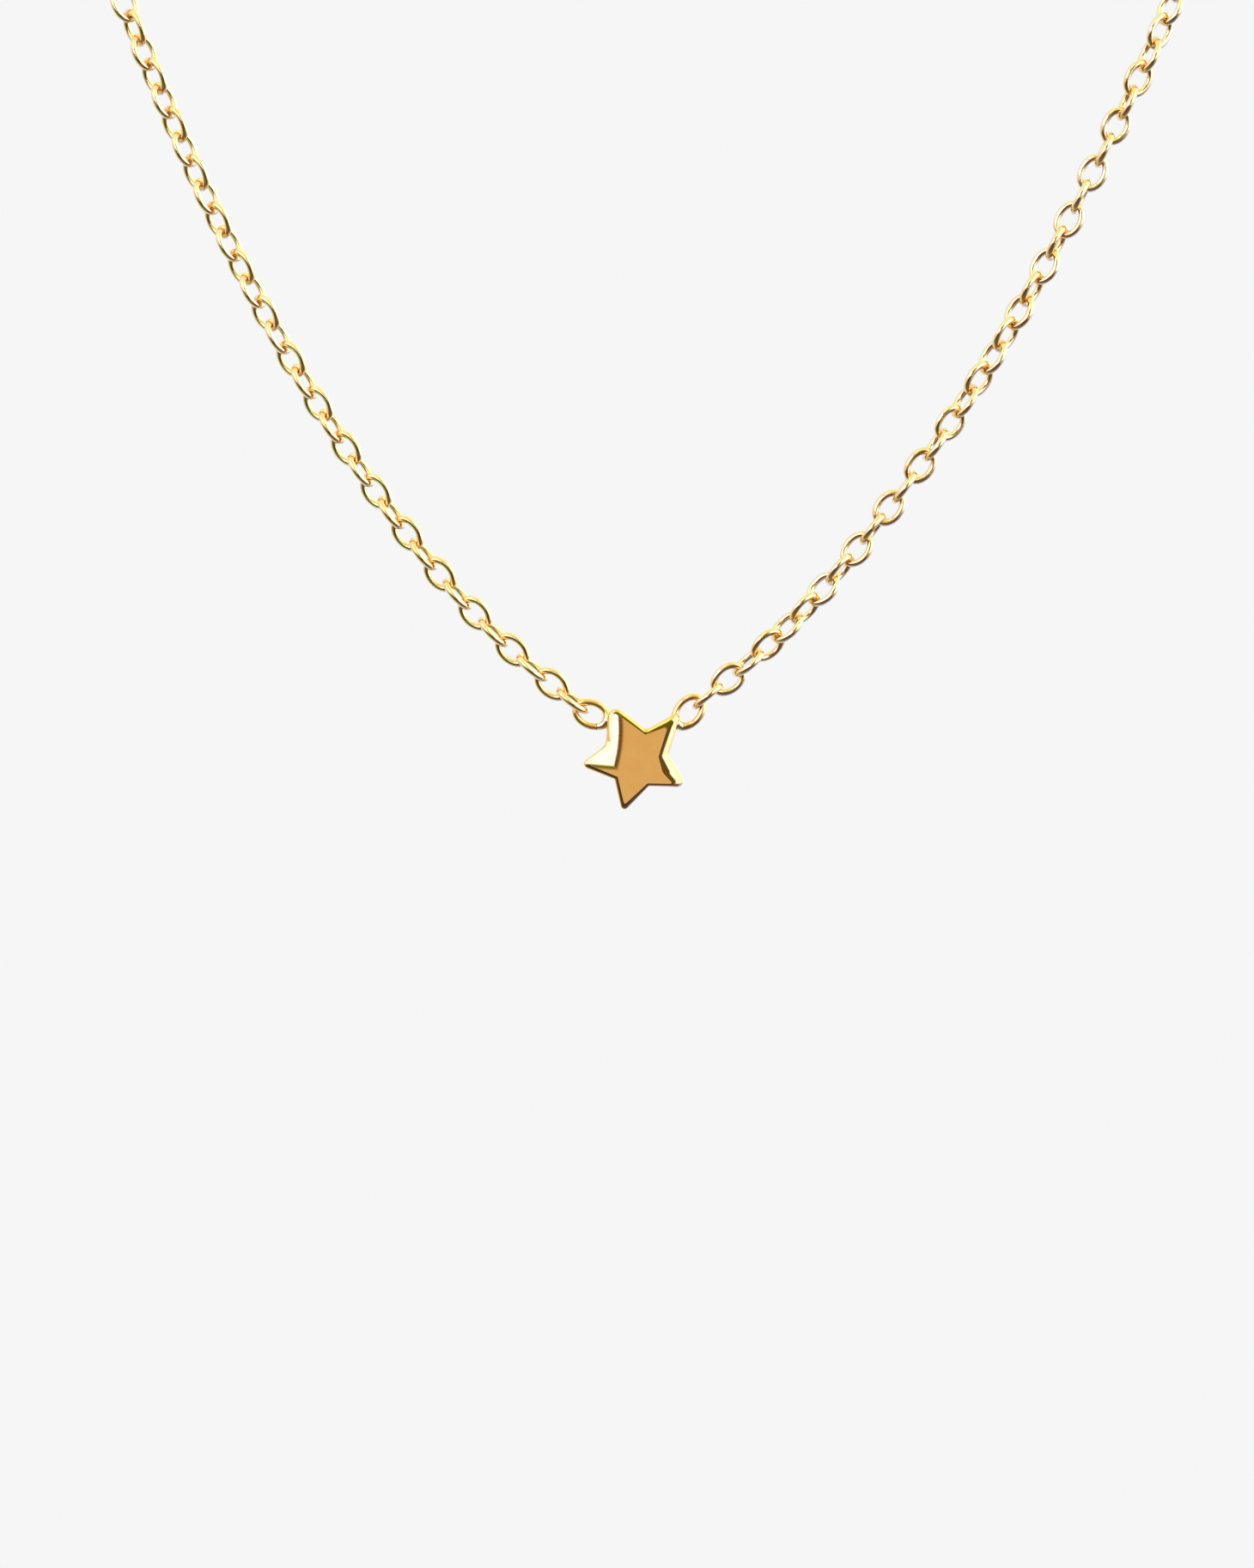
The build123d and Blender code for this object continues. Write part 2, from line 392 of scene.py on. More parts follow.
def wire_gold():
    """Drawn wire, with a soldered seam in one side of each link, and ends worn rougher and darkened
    with painted shade.
    """
    material, tree, shader = start_metal("chain_gold")
    objects = tree.add("ShaderNodeTexCoord").outputs["Object"]
    along_x, along_y, _ = tree.parts(vector_on_piece(tree, "wire_along"))
    round_x, round_y, _ = tree.parts(vector_on_piece(tree, "wire_round"))
    shade = number_on_piece(tree, "link_shade")
    patches = noise(tree, objects, WIRE_PATCHES)
    paleness = (patches + shade * LINK_CONTRAST + LINK_SHIFT).ramp(*WIRE_PALE)
    colour = tree.blend(WIRE_DEEP_GOLD, WIRE_PALE_GOLD, paleness)
    from_middle = along_x.size() / MM
    # painted shade: each link's ends are darkened where its neighbours pass through, and worn
    # rougher there too
    worn_and_shaded = from_middle.ramp(LINK_REACH * WORN_AND_SHADED_START, LINK_REACH) * patches.ramp(*WORN_AND_SHADED_PATCHES)
    colour = tree.blend(colour, WEAR_AND_SHADE_GOLD, worn_and_shaded * END_SHADE_STRENGTH)
    seam = (1 - from_middle.ramp(SEAM_WIDTH / 2, SEAM_WIDTH)) * (along_y > 0)
    lines = {0: round_x * LINES_ROUND, 1: round_y * LINES_ROUND, 2: along_x * LINES_ALONG}
    lines = tree.add("ShaderNodeCombineXYZ", inputs=lines).outputs[0]
    drawn = tree.number("ShaderNodeTexNoise", None, {"Vector": lines, "Scale": 1.0, "Detail": 1.0})
    rough = WIRE_ROUGHNESS
    roughness = (rough["wire"] + patches * rough["patches"] + worn_and_shaded * rough["worn_and_shaded"]
                 + seam * rough["seam"])
    height = drawn * LINE_HEIGHT + patches - seam * SEAM_SUNK
    finish_metal(tree, shader, colour, roughness, height, WIRE_BUMP)
    return material


finishes = {"chain": wire_gold()}
print("finish", finishes["chain"].name)

# %% [markdown]
# ### The polished star
#
# Polishing leaves the star nearly a mirror, with a very fine grain. The solder on its rings is paler
# and duller than the gold, and ends at a thin line where the two metals meet, darkened with painted
# shade. The mesh carries where the solder and that line are, as one number each.

# %% The star's finish
SOLDER = (1.0, 0.80, 0.42)
# painted shade for the thin sunk line where the solder ends
SEAM_SHADE = (0.20, 0.10, 0.05)
STAR_CLOUDS = 1.1         # soft patches to a millimetre
STAR_GRAIN = 16.0
GRAIN_DETAIL = 3.0        # how many finer layers the grain has
CLOUD_SHARE = 0.4         # of the colour's change, against the grain's
STAR_PALE = (0.3, 0.7)    # the gold turns from deep to pale between these heights
STAR_BUMP = 0.00002       # millimetres
STAR_ROUGHNESS = {"star": 0.022, "grain": 0.006, "solder": 0.16, "seam": 0.2}


def star_gold():
    """Cast and polished metal with a very fine grain."""
    material, tree, shader = start_metal("star_gold")
    objects = tree.add("ShaderNodeTexCoord").outputs["Object"]
    clouds = noise(tree, objects, STAR_CLOUDS)
    grain = noise(tree, objects, STAR_GRAIN, GRAIN_DETAIL)
    solder = number_on_piece(tree, "solder")
    seam = number_on_piece(tree, "seam")
    paleness = (clouds * CLOUD_SHARE + grain * (1 - CLOUD_SHARE)).ramp(*STAR_PALE)
    colour = tree.blend(DEEP_GOLD, PALE_GOLD, paleness)
    colour = tree.blend(colour, SOLDER, solder)
    # painted shade: a thin dark line along the solder's sharp end
    colour = tree.blend(colour, SEAM_SHADE, seam)
    rough = STAR_ROUGHNESS
    roughness = (rough["star"] + grain * rough["grain"] + solder * rough["solder"]
                 + seam * rough["seam"])
    finish_metal(tree, shader, colour, roughness, clouds, STAR_BUMP)
    return material


finishes["star"] = star_gold()
print("finish", finishes["star"].name)

# %% [markdown]
# ### The tumbled clasp
#
# A clasp is polished by tumbling in a drum and not by hand, and it is opened and closed every day,
# so it is duller than the star and has scuffs.

# %% The clasp's finish
CLASP_CLOUDS = 0.8        # soft patches to a millimetre
CLASP_SCUFFS = 7.0
SCUFF_DETAIL = 4.0
CLASP_PALE = (0.35, 0.65)      # the gold turns from deep to pale between these heights
SCUFFED = (0.62, 0.8)     # the scuffs show only where the noise is this high
SCUFF_STRENGTH = 0.3
CLASP_BUMP = 0.003        # millimetres
CLASP_ROUGHNESS = {"clasp": 0.10, "scuffs": 0.10}


def clasp_gold():
    """Turned and tumbled metal, a little less bright than the rest."""
    material, tree, shader = start_metal("clasp_gold")
    objects = tree.add("ShaderNodeTexCoord").outputs["Object"]
    clouds = noise(tree, objects, CLASP_CLOUDS)
    scuffs = noise(tree, objects, CLASP_SCUFFS, SCUFF_DETAIL)
    colour = tree.blend(DEEP_GOLD, PALE_GOLD, clouds.ramp(*CLASP_PALE))
    colour = tree.blend(colour, WEAR_AND_SHADE_GOLD, scuffs.ramp(*SCUFFED) * SCUFF_STRENGTH)
    roughness = CLASP_ROUGHNESS["clasp"] + scuffs * CLASP_ROUGHNESS["scuffs"]
    finish_metal(tree, shader, colour, roughness, scuffs, CLASP_BUMP)
    return material


finishes["clasp"] = clasp_gold()
print("finish", finishes["clasp"].name)

# %% [markdown]
# ## The two strands
#
# Each strand starts as a mesh of bare points that carry the two directions read from the CAD links.
# The modifier turns them into wire, and the evaluated result is kept as a plain mesh, because that
# is what can ride on the frame and be exported.

# %% Make both strands
def directions_attribute(mesh, name, values):
    attribute = mesh.attributes.new(name, "FLOAT_VECTOR", "POINT")
    attribute.data.foreach_set("vector", np.ascontiguousarray(values, np.float32).ravel())


def place_piece(piece, node):
    """Hand a finished mesh to the frame in place of a CAD node."""
    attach(piece, "root")
    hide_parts(node)
    triangles = sum(len(face.vertices) - 2 for face in piece.data.polygons)
    print(piece.name, "has", triangles, "triangles")


def make_strand(name, places, seed):
    centre, along, flat = places
    mesh = bpy.data.meshes.new(name + "_points")
    mesh.from_pydata(centre.tolist(), [], [])
    directions_attribute(mesh, "along", along)
    directions_attribute(mesh, "flat", flat)
    strand = bpy.data.objects.new(name, mesh)
    bpy.context.scene.collection.objects.link(strand)
    modifier = strand.modifiers.new("links", "NODES")
    modifier.node_group = links_tree
    sizes = {
        "Reach": LINK_REACH * MM,
        "Half width": LINK_HALF_WIDTH * MM,
        "Wire radius": LINK_WIRE / 2 * MM,
        "Segments": LINK_SEGMENTS,
        "Sides": WIRE_SIDES,
        "Seed": seed,
        "Finish": finishes["chain"],
    }
    for item in links_tree.interface.items_tree:
        if item.in_out == "INPUT" and item.name in sizes:
            modifier[item.identifier] = sizes[item.name]
    evaluated = strand.evaluated_get(bpy.context.evaluated_depsgraph_get())
    strand.data = bpy.data.meshes.new_from_object(evaluated)
    strand.modifiers.clear()
    return strand


left_strand = make_strand("left_strand_links", chain_places["chain_left"], seed=3)
right_strand = make_strand("right_strand_links", chain_places["chain_right"], seed=8)
place_piece(left_strand, "chain_left")
place_piece(right_strand, "chain_right")

# %% [markdown]
# ## The star
#
# The star was cast in one, then filed and polished by hand. Its faces look flat but bulge very
# slightly, and its rim is rounded, more in some places than in others. It could be a bevelled
# extrusion, but a bevel bunches up in the sharp notches. Here the whole surface is rings of points
# instead: rings that grow from the centre out to the face's edge, rings that ease out of the face
# and over the rim, and the same again behind.

# %% The star's corners
STAR_CENTRE = Vector((0.0, -46.0, -118.0))
STAR_THICKNESS = 1.60
DOME_RADIUS = 40.0        # the polished faces bulge as gently as a ball of this radius

# Each row is one corner, first of the star's outline and then of its polished face: how far to the
# right of the centre, how far above it, and the radius that rounds it off. The last number says how
# deep the rim goes there, as the radius that it would have if it were a plain quarter circle.
STAR_CORNERS = [
    ((-0.93, -3.67, 0.25), (-0.82, -3.20, 0.08), 0.24),   # bottom point
    ((0.78, -1.92, 0.08), (0.69, -1.78, 0.06), 0.17),
    ((3.39, -2.03, 0.44), (2.43, -1.83, 0.08), 0.78),     # lower right point
    ((2.78, -1.03, 1.67), (1.68, -1.04, 0.89), 1.00),
    ((2.07, 0.08, 0.22), (1.43, -0.03, 0.11), 0.70),
    ((3.00, 3.08, 0.26), (2.02, 1.93, 0.17), 0.74),       # upper right point
    ((0.64, 1.73, 0.42), (0.56, 1.43, 0.03), 0.37),
    ((-1.79, 3.56, 0.54), (-1.50, 2.97, 0.20), 0.31),     # upper left point
    ((-2.01, 0.72, 0.89), (-1.59, 0.86, 0.11), 0.43),
    ((-3.73, -0.56, 0.31), (-3.18, -0.53, 0.11), 0.27),   # left point
    ((-1.43, -1.48, 0.10), (-1.23, -1.34, 0.03), 0.24),
]
ARC_STEPS = 8             # points round each corner
SIDE_STEPS = 16           # and along the straight side after it


def rounded_outline(corners):
    """Points round an outline with an arc at each corner. All outlines get as many points."""
    arcs = []
    for number, (x, up, radius) in enumerate(corners):
        corner = Vector((x, up))
        before = (Vector(corners[number - 1][:2]) - corner).normalized()
        after = (Vector(corners[(number + 1) % len(corners)][:2]) - corner).normalized()
        half = before.angle(after) / 2
        centre = corner + (before + after).normalized() * (radius / math.sin(half))
        start = corner + before * (radius / math.tan(half))
        end = corner + after * (radius / math.tan(half))
        arc = []
        for step in range(ARC_STEPS + 1):
            spoke = (start - centre).slerp(end - centre, step / ARC_STEPS)     # of length 1
            arc.append(centre + spoke * radius)
        arcs.append(arc)
    outline = []
    for arc, following in zip(arcs, arcs[1:] + arcs[:1]):
        outline += arc
        for step in range(1, SIDE_STEPS):
            outline.append(arc[-1].lerp(following[0], step / SIDE_STEPS))
    return np.array(outline)


outer_edge = rounded_outline([outline_corner for outline_corner, _, _ in STAR_CORNERS])
face_edge = rounded_outline([face_corner for _, face_corner, _ in STAR_CORNERS])
print("star outline of", len(outer_edge), "points")

# %% [markdown]
# The rim starts with a slight lean, bends slowly at first and then like a circle until it reaches
# the side. That slow start is where polishing wears an edge away, and it draws the thin dark line
# that runs round the face.

# %% Shape the rim and stack the rings
RIM_START = 6.5           # degrees that the rim leans back where it leaves the face
RIM_EASE = 8.0            # how much flatter its bend is there than at the side
RIM_EASE_SPAN = 5.0       # degrees of lean over which that wears off
RIM_STEPS = 14
FINE_STEPS = 40           # how finely the rim is summed up within each of its steps
FACE_RINGS = 28


def rim_profile():
    """How far across and how far back the rim has come after each step, as shares of its width."""
    fine = FINE_STEPS * RIM_STEPS
    lean = RIM_START + (90 - RIM_START) * (np.arange(fine) + 0.5) / fine
    bend = 1 + RIM_EASE * np.exp(-(lean - RIM_START) / RIM_EASE_SPAN)
    across = np.cumsum(bend * np.cos(np.radians(lean)))
    back = np.cumsum(bend * np.sin(np.radians(lean)))
    picked = np.arange(1, RIM_STEPS + 1) * FINE_STEPS - 1
    return across[picked] / across[-1], back[picked] / across[-1]


def star_rings(outer, face):
    """The star's surface as rings of (x, depth, z), from the front face's centre to the back's."""
    half = STAR_THICKNESS / 2
    edge_sag = (face**2).sum(axis=1) / (2 * DOME_RADIUS)
    at_corners = np.arange(len(STAR_CORNERS)) * (ARC_STEPS + SIDE_STEPS) + ARC_STEPS / 2
    depths = [rim_depth for _, _, rim_depth in STAR_CORNERS]
    depth = np.interp(np.arange(len(face)), at_corners, depths, period=len(face))
    across, back = rim_profile()
    front = []
    for step in range(1, FACE_RINGS + 1):
        share = step / FACE_RINGS
        flat = face * share
        front.append(np.column_stack([flat[:, 0], edge_sag * share**2 - half, flat[:, 1]]))
    for share, sunk in zip(across, back):
        flat = face + (outer - face) * share
        front.append(np.column_stack([flat[:, 0], depth * sunk + edge_sag - half, flat[:, 1]]))
    return front + [ring * (1, -1, 1) for ring in reversed(front)]


def add_shell(mesh, rings):
    """Join rings of points by faces, with a fan at either end."""
    count = len(rings[0])
    rows = [[mesh.verts.new(Vector(point)) for point in ring] for ring in rings]
    for low, high in zip(rows, rows[1:]):
        for step in range(count):
            following = (step + 1) % count
            mesh.faces.new((low[step], low[following], high[following], high[step]))
    for row, middle in ((rows[0], rings[0].mean(axis=0)), (rows[-1], rings[-1].mean(axis=0))):
        centre = mesh.verts.new(Vector(middle))
        for step in range(count):
            mesh.faces.new((row[step], row[(step + 1) % count], centre))


surface_rings = star_rings(outer_edge, face_edge)
print("star surface of", len(surface_rings), "rings")

# %% [markdown]
# ## Wire bent to a loop
#
# The two rings at the star and the two of the clasp are closed loops of wire. Geometry Nodes could
# sweep them too, but rows of vertices made one by one let the wire swell where it is soldered, and
# each row can note how much solder covers it.

# %% A closed loop of wire
RING_SIDES = 20


def wire_loop(mesh, middle_line, radii):
    """A closed tube along a loop that lies in XZ. Returns its rows of vertices."""
    count = len(middle_line)
    rows = []
    for step in range(count):
        ahead = (middle_line[(step + 1) % count] - middle_line[step - 1]).normalized()
        outward = Vector((ahead.z, 0, -ahead.x))
        row = []
        for side in range(RING_SIDES):
            angle = 2 * math.pi * side / RING_SIDES
            spoke = outward * math.cos(angle) + Vector((0, 1, 0)) * math.sin(angle)
            row.append(mesh.verts.new(middle_line[step] + spoke * radii[step]))
        rows.append(row)
    for step in range(count):
        low, high = rows[step], rows[(step + 1) % count]
        for side in range(RING_SIDES):
            following = (side + 1) % RING_SIDES
            mesh.faces.new((low[side], low[following], high[following], high[side]))
    return rows


def degrees_between(turn, other):
    """How far one direction is ahead of another, from -180 to 180 degrees."""
    return (turn - other + 180) % 360 - 180


print("wire with", RING_SIDES, "sides")

# %% [markdown]
# ## The rings and their solder
#
# Each ring is a link like the others, held at one end by a bead of solder. Solder wets both metals
# and draws a smooth neck between them, so the wire simply swells towards the star. It also runs a
# little way along the wire, and stops there at a sharp line.

# %% Bend the soldered rings and join them to the star
# Where each ring's middle is, how its long axis leans and where on the oval it meets the star, in
# degrees. The solder has run along the wire between two places and ends sharply at the first.
RINGS = {
    "left": {"place": (-2.91, 2.72), "tilt": -21.0, "star_end": 0.0, "solder": (-58.0, 30.0)},
    "right": {"place": (3.38, 2.90), "tilt": 50.0, "star_end": 180.0, "solder": (208.0, 140.0)},
}
RING_SEGMENTS = 180
SOLDER_SWELL = 0.14       # how much thicker the wire's radius grows at the star
SOLDER_SPREAD = 34.0      # degrees of the oval over which it thins out again
SOLDER_FADE = 2.5         # how steeply the solder's colour fades out at its soft end
SEAM_DEPTH = 0.03         # of the line at its sharp end
SEAM_SPREAD = 2.2         # degrees


def soldered_ring(mesh, ring):
    solder_layer = mesh.verts.layers.float["solder"]
    seam_layer = mesh.verts.layers.float["seam"]
    tilt = math.radians(ring["tilt"])
    sharp_end, soft_end = ring["solder"]
    way = math.copysign(1, soft_end - sharp_end)
    middle_line = []
    radii = []
    marks = []
    for step in range(RING_SEGMENTS):
        turn = 360.0 * step / RING_SEGMENTS
        x = LINK_REACH * math.cos(math.radians(turn))
        z = LINK_HALF_WIDTH * math.sin(math.radians(turn))
        place_x = ring["place"][0] + x * math.cos(tilt) - z * math.sin(tilt)
        place_z = ring["place"][1] + x * math.sin(tilt) + z * math.cos(tilt)
        middle_line.append(Vector((place_x, 0, place_z)))
        from_star = degrees_between(turn, ring["star_end"])
        from_seam = degrees_between(turn, sharp_end)
        swell = SOLDER_SWELL * math.exp(-(from_star / SOLDER_SPREAD) ** 2)
        seam = math.exp(-(from_seam / SEAM_SPREAD) ** 2)
        radii.append(LINK_WIRE / 2 + swell - SEAM_DEPTH * seam)
        run = from_seam * way / abs(soft_end - sharp_end)
        solder = min(1.0, (1 - run) * SOLDER_FADE) if 0 <= run <= 1 else 0.0
        marks.append((solder, seam))
    for row, (solder, seam) in zip(wire_loop(mesh, middle_line, radii), marks):
        for vertex in row:
            vertex[solder_layer] = solder
            vertex[seam_layer] = seam


def mesh_piece(name, mesh, centre, finish):
    """Turn a bmesh in millimetres round centre into a finished object in metres."""
    bmesh.ops.recalc_face_normals(mesh, faces=mesh.faces)
    to_metres = Matrix.Scale(MM, 4) @ Matrix.Translation(centre)
    bmesh.ops.transform(mesh, matrix=to_metres, verts=mesh.verts)
    data = bpy.data.meshes.new(name)
    for face in mesh.faces:
        face.smooth = True
    mesh.to_mesh(data)
    mesh.free()
    data.materials.append(finish)
    piece = bpy.data.objects.new(name, data)
    bpy.context.scene.collection.objects.link(piece)
    return piece


pendant_mesh = bmesh.new()
pendant_mesh.verts.layers.float.new("solder")
pendant_mesh.verts.layers.float.new("seam")
add_shell(pendant_mesh, surface_rings)
for ring in RINGS.values():
    soldered_ring(pendant_mesh, ring)
pendant = mesh_piece("star_with_rings", pendant_mesh, STAR_CENTRE, finishes["star"])
place_piece(pendant, "star_pendant")

# %% [markdown]
# ## The clasp
#
# The clasp sits behind the neck, where the photograph doesn't reach. It is kept plain: a ring of
# thicker wire with a small eye soldered to its side, both upright in one plane, as the star is.

# %% Make the clasp
CLASP_DIAMETER = 5.20
CLASP_WIRE = 0.70
EYE_DIAMETER = 2.30
EYE_WIRE = 0.50
CLASP_RADIUS = (CLASP_DIAMETER - CLASP_WIRE) / 2
EYE_RADIUS = (EYE_DIAMETER - EYE_WIRE) / 2
NAPE = 46.0               # how far the clasp lies behind the middle of the neck
CLASP_CENTRE = Vector((EYE_RADIUS, NAPE, 0.0))
CLASP_SEGMENTS = 96
EYE_SEGMENTS = 64
JOINT_SWELL = 0.18        # how much thicker the wire is where ring and eye are soldered, as a share
JOINT_SPREAD = 16.0       # degrees of the larger ring over which it thins out again


def round_loop(mesh, centre_x, radius, wire, segments, joint_turn):
    """A round ring of wire that swells a little where it is soldered."""
    line = []
    radii = []
    for step in range(segments):
        turn = 360.0 * step / segments
        x = centre_x + radius * math.cos(math.radians(turn))
        line.append(Vector((x, 0, radius * math.sin(math.radians(turn)))))
        away = degrees_between(turn, joint_turn) * radius / CLASP_RADIUS
        radii.append(wire / 2 * (1 + JOINT_SWELL * math.exp(-(away / JOINT_SPREAD) ** 2)))
    wire_loop(mesh, line, radii)


clasp_mesh = bmesh.new()
round_loop(clasp_mesh, 0.0, CLASP_RADIUS, CLASP_WIRE, CLASP_SEGMENTS, joint_turn=180.0)
eye_x = -CLASP_RADIUS - EYE_RADIUS
round_loop(clasp_mesh, eye_x, EYE_RADIUS, EYE_WIRE, EYE_SEGMENTS, joint_turn=0.0)
clasp_piece = mesh_piece("clasp_ring_and_eye", clasp_mesh, CLASP_CENTRE, finishes["clasp"])
place_piece(clasp_piece, "clasp")

# %% [markdown]
# ## The studio
#
# Polished gold shows little but its surroundings, so the light is most of the look. The photograph
# was lit by large white panels with dark gaps between them: a bright one to the right, one to the
# upper left whose edge crosses the star's face, a softer one above, and a dark table below. All of
# it is painted on the world by direction, which is smooth and free of noise.
#
# Two angles name a direction. `angle` is measured from straight in front of the star, and `lift` is
# the way round from the right, through the top, to the left and the bottom. A surface that leans by
# some angle mirrors what lies at twice that angle, so each band of directions below lights one range
# of leans, from the edge of the star's face to the steepest sides of the wire. Gold swallows blue,
# so the panels are a little blue to look white in it.

# %% The colours of the surroundings
FULL = 3.9                # the brightest panel; the colours below are shares of it
CAMERA_GLOW = (0.182, 0.154, 0.119)     # straight in front of the star, what its face mirrors
LIFT_NEAR = [
    (-180, (0.200, 0.190, 0.250)),
    (-176, (0.200, 0.190, 0.250)),
    (-171, (0.036, 0.022, 0.024)),
    (-150, (0.016, 0.014, 0.010)),
    (-110, (0.018, 0.010, 0.018)),
    (-50, (0.022, 0.014, 0.020)),
    (-20, (0.034, 0.022, 0.014)),
    (10, (0.034, 0.026, 0.010)),
    (30, (0.022, 0.034, 0.004)),
    (60, (0.034, 0.044, 0.003)),
    (121, (0.034, 0.040, 0.003)),
    (124, (0.190, 0.190, 0.300)),
    (129, (0.190, 0.190, 0.300)),
    (133, (0.470, 0.552, 0.760)),
    (167, (0.470, 0.552, 0.760)),
    (172, (0.200, 0.190, 0.250)),
]
LIFT_MIDDLE = [
    (-180, (0.200, 0.190, 0.250)),
    (-176, (0.200, 0.190, 0.250)),
    (-170, (0.050, 0.036, 0.026)),
    (-150, (0.016, 0.019, 0.006)),
    (-124, (0.020, 0.022, 0.010)),
    (-108, (0.034, 0.024, 0.026)),
    (-76, (0.040, 0.030, 0.032)),
    (-40, (0.040, 0.032, 0.022)),
    (-24, (0.140, 0.135, 0.110)),
    (-8, (0.420, 0.502, 0.800)),
    (44, (0.425, 0.512, 0.780)),
    (54, (0.380, 0.472, 0.360)),
    (68, (0.240, 0.290, 0.090)),
    (98, (0.220, 0.270, 0.070)),
    (114, (0.380, 0.472, 0.360)),
    (121, (0.400, 0.487, 0.420)),
    (124, (0.220, 0.210, 0.300)),
    (129, (0.220, 0.210, 0.300)),
    (133, (0.450, 0.532, 0.680)),
    (167, (0.475, 0.557, 0.800)),
    (172, (0.200, 0.190, 0.250)),
]
LIFT_FAR = [
    (-180, (0.220, 0.200, 0.240)),
    (-175, (0.220, 0.200, 0.240)),
    (-169, (0.080, 0.064, 0.044)),
    (-152, (0.030, 0.034, 0.014)),
    (-124, (0.034, 0.036, 0.018)),
    (-108, (0.060, 0.046, 0.040)),
    (-88, (0.040, 0.030, 0.024)),
    (-42, (0.020, 0.016, 0.010)),
    (-28, (0.110, 0.100, 0.080)),
    (-16, (0.380, 0.470, 0.740)),
    (40, (0.380, 0.480, 0.720)),
    (54, (0.380, 0.460, 0.360)),
    (68, (0.260, 0.260, 0.180)),
    (98, (0.240, 0.240, 0.160)),
    (114, (0.375, 0.440, 0.340)),
    (121, (0.395, 0.477, 0.420)),
    (124, (0.280, 0.260, 0.320)),
    (129, (0.280, 0.260, 0.320)),
    (133, (0.320, 0.400, 0.600)),
    (167, (0.330, 0.410, 0.620)),
    (172, (0.220, 0.200, 0.240)),
]
LIFT_SIDE = [
    (-180, (0.240, 0.210, 0.230)),
    (-166, (0.140, 0.125, 0.110)),
    (-150, (0.130, 0.170, 0.080)),
    (-124, (0.130, 0.170, 0.080)),
    (-108, (0.115, 0.110, 0.100)),
    (-88, (0.080, 0.065, 0.065)),
    (-44, (0.055, 0.045, 0.042)),
    (-28, (0.130, 0.120, 0.100)),
    (-14, (0.330, 0.420, 0.600)),
    (40, (0.330, 0.430, 0.560)),
    (58, (0.300, 0.380, 0.360)),
    (72, (0.260, 0.320, 0.240)),
    (98, (0.240, 0.300, 0.240)),
    (118, (0.250, 0.310, 0.400)),
    (126, (0.230, 0.270, 0.400)),
    (160, (0.250, 0.290, 0.450)),
    (172, (0.240, 0.210, 0.230)),
]
LIFT_BEHIND = [
    (-180, (0.210, 0.220, 0.300)),
    (-160, (0.220, 0.280, 0.380)),
    (-140, (0.220, 0.290, 0.360)),
    (-108, (0.210, 0.250, 0.420)),
    (-80, (0.170, 0.190, 0.360)),
    (-44, (0.150, 0.170, 0.320)),
    (-26, (0.200, 0.190, 0.180)),
    (-10, (0.270, 0.360, 0.540)),
    (40, (0.270, 0.370, 0.500)),
    (62, (0.250, 0.330, 0.400)),
    (100, (0.220, 0.280, 0.340)),
    (120, (0.210, 0.260, 0.400)),
    (160, (0.210, 0.260, 0.420)),
]
# each band takes over from the one before it between two values of `angle`
BANDS = [
    (LIFT_NEAR, 8.5, 11.0),
    (LIFT_MIDDLE, 22.0, 30.0),
    (LIFT_FAR, 40.0, 50.0),
    (LIFT_SIDE, 64.0, 78.0),
    (LIFT_BEHIND, 98.0, 114.0),
]
print(len(BANDS), "bands with", sum(len(stops) for stops, _, _ in BANDS), "colours")

# %% [markdown]
# The panel at the upper left reaches far enough towards the camera to be mirrored in the face
# itself, as the bright patch on its left. Its edges are easiest to place there, so they are written
# in millimetres on the face. The face bulges like a ball, which ties each place on it to one
# direction.

# %% The panel that the star's face mirrors
FACE_TO_VIEW = 2 / DOME_RADIUS     # how far a reflection swings for a millimetre across the face
LEAST_AHEAD = 0.05                 # keeps a division by nothing away at the sides
PANEL_FADE = (12.5, 16.0)          # degrees from straight in front between which the panel ends

# The right edge passes this far left of the face's centre, leans to the right on its way up, and
# bends back. The lower edge starts at x and z at the arm's tip and falls towards the right.
PANEL_SIDE = {"left": 1.336, "lean": 0.202, "bend": 0.0563}
PANEL_FOOT = {"x": -3.29, "z": -0.45, "fall": 0.085}
PANEL_CORNER = 0.10                # how softly what lies along one edge gives way to the other's

# The panel's layers from the outermost in: the edge that each one runs along, its colour, and how
# far outside the panel it starts to thin out and ends.
PANEL_LAYERS = [
    ("side", (0.038, 0.025, 0.010), 0.16, 0.38),      # the dark gap at its right
    ("foot", (0.042, 0.052, 0.003), 0.16, 0.30),      # the dark gap below it
    ("foot", (0.120, 0.200, 0.020), 0.0, 0.07),       # a thin greenish edge above that gap
    ("both", (0.30, 0.44, 1.0), -0.04, 0.01),         # the panel itself
]


def paint_panel(tree, around, right, up, front, angle):
    """Lay the panel over the colours of the bands."""
    ahead = front.greater(LEAST_AHEAD)
    face_x = right / ahead / FACE_TO_VIEW
    face_z = up / ahead / FACE_TO_VIEW
    lean = face_z * PANEL_SIDE["lean"]
    bend = face_z * face_z * PANEL_SIDE["bend"]
    beside = face_x - (lean - bend - PANEL_SIDE["left"])
    below = PANEL_FOOT["z"] - (face_x - PANEL_FOOT["x"]) * PANEL_FOOT["fall"] - face_z
    outside = beside.greater(below)
    in_front = 1 - angle.ramp(*PANEL_FADE)
    at_foot = (below - beside).ramp(-PANEL_CORNER, PANEL_CORNER)
    shares = {"side": (1 - at_foot) * in_front, "foot": at_foot * in_front, "both": in_front}
    for edge, colour, near, far in PANEL_LAYERS:
        around = tree.blend(around, colour, (1 - outside.ramp(near, far)) * shares[edge])
    return around


print("panel of", len(PANEL_LAYERS), "layers")

# %% [markdown]
# The camera itself doesn't see this studio: behind the necklace it sees a plain pale grey, as in the
# photograph. The Light Path node tells the camera's own rays from all others.

# %% Light the world
BACKDROP = (0.922, 0.922, 0.922)


